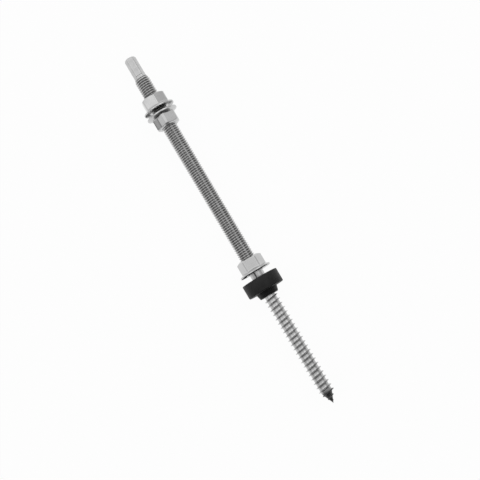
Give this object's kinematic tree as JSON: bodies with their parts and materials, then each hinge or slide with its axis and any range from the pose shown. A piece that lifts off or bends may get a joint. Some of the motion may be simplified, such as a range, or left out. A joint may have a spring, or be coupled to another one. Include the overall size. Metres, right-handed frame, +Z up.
{
  "type": "hanger bolt",
  "caption": "Long steel hanger bolt: hex drive and machine thread with flange nuts, a plain shank with a rubber seal, and a wood thread that runs out on the point.",
  "frame": {"origin": "middle of the bolt's length, on the floor it lies on", "axes": "+X along the bolt towards its wood-thread tip, which is raised by 0.8 degrees because the seal is wider than the nuts' flanges; +Z up"},
  "size_m": [0.25, 0.024, 0.0241],
  "materials": {
    "bolt_steel": "satin",
    "nut_steel": "satin",
    "seal_rubber": "matte"
  },
  "bodies": {
    "bolt": {"stud": "bolt_steel", "seal": "seal_rubber"},
    "upper_nut": {"upper_flange_nut": "nut_steel"},
    "middle_nut": {"middle_flange_nut": "nut_steel"},
    "lower_nut": {"lower_flange_nut": "nut_steel"}
  },
  "joints": [
    {"name": "upper_nut_travel", "type": "slide", "parent": "bolt", "child": "upper_nut", "axis": [-0.9999, 0, -0.0137], "range_m": [-0.0015, 0.012]},
    {"name": "middle_nut_travel", "type": "slide", "parent": "bolt", "child": "middle_nut", "axis": [0.9999, 0, 0.0137], "range_m": [0, 0.075]},
    {"name": "lower_nut_travel", "type": "slide", "parent": "bolt", "child": "lower_nut", "axis": [-0.9999, 0, -0.0137], "range_m": [0, 0.015]}
  ]
}
